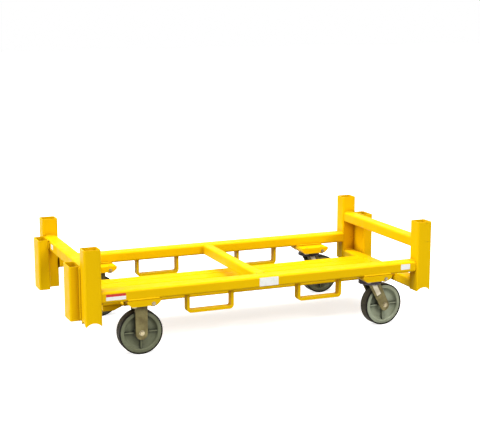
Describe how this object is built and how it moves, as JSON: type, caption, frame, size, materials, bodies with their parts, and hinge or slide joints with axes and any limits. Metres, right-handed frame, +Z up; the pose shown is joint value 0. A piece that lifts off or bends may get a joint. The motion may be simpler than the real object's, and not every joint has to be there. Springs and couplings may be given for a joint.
{
  "type": "steel stud cart",
  "caption": "Low welded steel tube cart with corner posts, end stake pockets, a slatted lower deck, fork loops, rigid casters at one end and swivel casters at the other.",
  "frame": {"origin": "on the floor, under the middle of the cart, where its four wheels stand", "axes": "+X along the length, towards the swivel casters; +Y to the rear long side; +Z up"},
  "size_m": [1.817, 0.8568, 0.507],
  "materials": {
    "frame_paint": "gloss safety yellow enamel",
    "caster_paint": "gloss safety yellow enamel",
    "fork_zinc": "dull olive zinc plate",
    "bolt_steel": "plated, slightly tarnished",
    "wheel_core": "grey green moulded core",
    "tyre": "dark rubber tread",
    "bearing_steel": "ground",
    "race_dark": "greased dark steel"
  },
  "bodies": {
    "frame": {"end_rail_left": "frame_paint", "post_front_left": "frame_paint", "stake_pocket_front_left": "frame_paint", "fork_loop_front_left": "frame_paint", "caster_pad_front_left": "frame_paint", "post_rear_left": "frame_paint", "stake_pocket_rear_left": "frame_paint", "fork_loop_rear_left": "frame_paint", "caster_pad_rear_left": "frame_paint", "end_rail_right": "frame_paint", "post_front_right": "frame_paint", "stake_pocket_front_right": "frame_paint", "fork_loop_front_right": "frame_paint", "caster_pad_front_right": "frame_paint", "post_rear_right": "frame_paint", "stake_pocket_rear_right": "frame_paint", "fork_loop_rear_right": "frame_paint", "caster_pad_rear_right": "frame_paint", "side_rail_front": "frame_paint", "deck_gusset_front": "frame_paint", "deck_hanger_front": "frame_paint", "side_rail_rear": "frame_paint", "deck_gusset_rear": "frame_paint", "deck_hanger_rear": "frame_paint", "cross_tube": "frame_paint", "lower_end_tube": "frame_paint", "deck_support_tube": "frame_paint", "deck_slat_1": "frame_paint", "deck_slat_2": "frame_paint", "deck_slat_3": "frame_paint", "deck_slat_4": "frame_paint", "deck_slat_5": "frame_paint", "caster_plate_front_left": "caster_paint", "caster_plate_rear_left": "caster_paint", "caster_plate_front_right": "caster_paint", "caster_plate_rear_right": "caster_paint", "caster_bolts": "bolt_steel", "rigid_axles": "bolt_steel", "rigid_fork_front": "fork_zinc", "swivel_bearing_front": "race_dark", "kingpin_front": "bolt_steel", "rigid_fork_rear": "fork_zinc", "swivel_bearing_rear": "race_dark", "kingpin_rear": "bolt_steel"},
    "swivel_front": {"swivel_fork_front": "fork_zinc", "swivel_axle_front": "bolt_steel"},
    "wheel_front_left": {"wheel_core_front_left": "wheel_core", "wheel_tyre_front_left": "tyre", "wheel_bearing_front_left": "bearing_steel"},
    "wheel_front_right": {"wheel_core_front_right": "wheel_core", "wheel_tyre_front_right": "tyre", "wheel_bearing_front_right": "bearing_steel"},
    "swivel_rear": {"swivel_fork_rear": "fork_zinc", "swivel_axle_rear": "bolt_steel"},
    "wheel_rear_left": {"wheel_core_rear_left": "wheel_core", "wheel_tyre_rear_left": "tyre", "wheel_bearing_rear_left": "bearing_steel"},
    "wheel_rear_right": {"wheel_core_rear_right": "wheel_core", "wheel_tyre_rear_right": "tyre", "wheel_bearing_rear_right": "bearing_steel"}
  },
  "joints": [
    {"name": "swivel_front_turn", "type": "hinge", "parent": "frame", "child": "swivel_front", "pos_m": [0.575, -0.3413, 0], "axis": [0, 0, 1], "continuous": true},
    {"name": "wheel_front_left_roll", "type": "hinge", "parent": "frame", "child": "wheel_front_left", "pos_m": [-0.592, -0.3413, 0.1016], "axis": [0, 1, 0], "continuous": true},
    {"name": "wheel_front_right_roll", "type": "hinge", "parent": "swivel_front", "child": "wheel_front_right", "pos_m": [0.64064, -0.3344, 0.1016], "axis": [-0.1045, 0.9945, 0], "continuous": true},
    {"name": "swivel_rear_turn", "type": "hinge", "parent": "frame", "child": "swivel_rear", "pos_m": [0.575, 0.3413, 0], "axis": [0, 0, 1], "continuous": true},
    {"name": "wheel_rear_left_roll", "type": "hinge", "parent": "frame", "child": "wheel_rear_left", "pos_m": [-0.592, 0.3413, 0.1016], "axis": [0, 1, 0], "continuous": true},
    {"name": "wheel_rear_right_roll", "type": "hinge", "parent": "swivel_rear", "child": "wheel_rear_right", "pos_m": [0.64064, 0.3482, 0.1016], "axis": [-0.1045, 0.9945, 0], "continuous": true}
  ]
}
